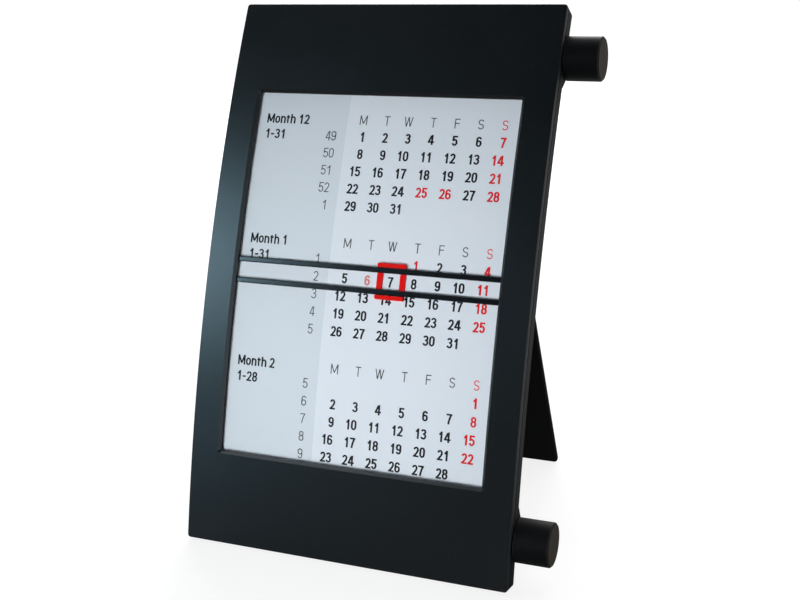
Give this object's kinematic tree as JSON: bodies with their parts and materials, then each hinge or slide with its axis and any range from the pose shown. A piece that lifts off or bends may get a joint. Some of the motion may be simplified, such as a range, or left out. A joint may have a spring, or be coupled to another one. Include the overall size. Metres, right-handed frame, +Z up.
{
  "type": "desk calendar",
  "caption": "Free-standing desk calendar: a printed paper band winds between two knob-turned rollers behind a curved framed window, with a sliding date cursor and a fold-out leg",
  "frame": {"origin": "middle of the narrow flat on the bottom edge of the case, where it rests on the desk", "axes": "+X to the right as the face is seen, which is the knobs' side, +Y to the back, +Z up"},
  "size_m": [0.1272, 0.0999, 0.1746],
  "materials": {
    "case_plastic": "satin black moulded plastic",
    "rail_plastic": "glossy black",
    "cursor_plastic": "glossy red",
    "printed_paper": "matt pale paper",
    "guide_plastic": "dark grey plastic",
    "roller_plastic": "grey plastic",
    "bush_plastic": "natural acetal",
    "brake_felt": "dark felt",
    "plain_steel": "bright steel"
  },
  "bodies": {
    "housing": {"front_frame": "case_plastic", "back_cover": "case_plastic", "paper_guide": "guide_plastic", "calendar_band": "printed_paper", "upper_left_bush": "bush_plastic", "upper_right_bush": "bush_plastic", "lower_left_bush": "bush_plastic", "lower_right_bush": "bush_plastic", "hinge_pin": "plain_steel", "cover_screws": "plain_steel"},
    "upper_roller": {"upper_roller_shaft": "roller_plastic", "upper_paper_winding": "printed_paper", "upper_knob": "case_plastic", "upper_brake_ring": "brake_felt"},
    "lower_roller": {"lower_roller_shaft": "roller_plastic", "lower_paper_winding": "printed_paper", "lower_knob": "case_plastic", "lower_brake_ring": "brake_felt"},
    "date_carriage": {"upper_rail": "rail_plastic", "lower_rail": "rail_plastic", "left_slider": "case_plastic", "right_slider": "case_plastic"},
    "date_cursor": {"date_cursor": "cursor_plastic"},
    "stand_leg": {"stand_leg": "case_plastic"}
  },
  "joints": [
    {"name": "lower_knob_turn", "type": "hinge", "parent": "housing", "child": "lower_roller", "pos_m": [0, 0.00553, 0.01392], "axis": [1, 0, 0], "continuous": true},
    {"name": "upper_knob_turn", "type": "hinge", "parent": "housing", "child": "upper_roller", "pos_m": [0, 0.06248, 0.15756], "axis": [1, 0, 0], "continuous": true},
    {"name": "carriage_slide", "type": "hinge", "parent": "housing", "child": "date_carriage", "pos_m": [0, 0.59454, -0.13647], "axis": [-1, 0, 0], "range_deg": [-5.2, 5.2]},
    {"name": "cursor_slide", "type": "slide", "parent": "date_carriage", "child": "date_cursor", "axis": [1, 0, 0], "range_m": [-0.0508, 0.0322]},
    {"name": "leg_fold", "type": "hinge", "parent": "housing", "child": "stand_leg", "pos_m": [0, 0.04435, 0.11565], "axis": [-1, 0, 0], "range_deg": [0, 39.9]}
  ],
  "couplings": [
    {"joint": "upper_knob_turn", "follows": "lower_knob_turn", "ratio": 1.3226}
  ]
}
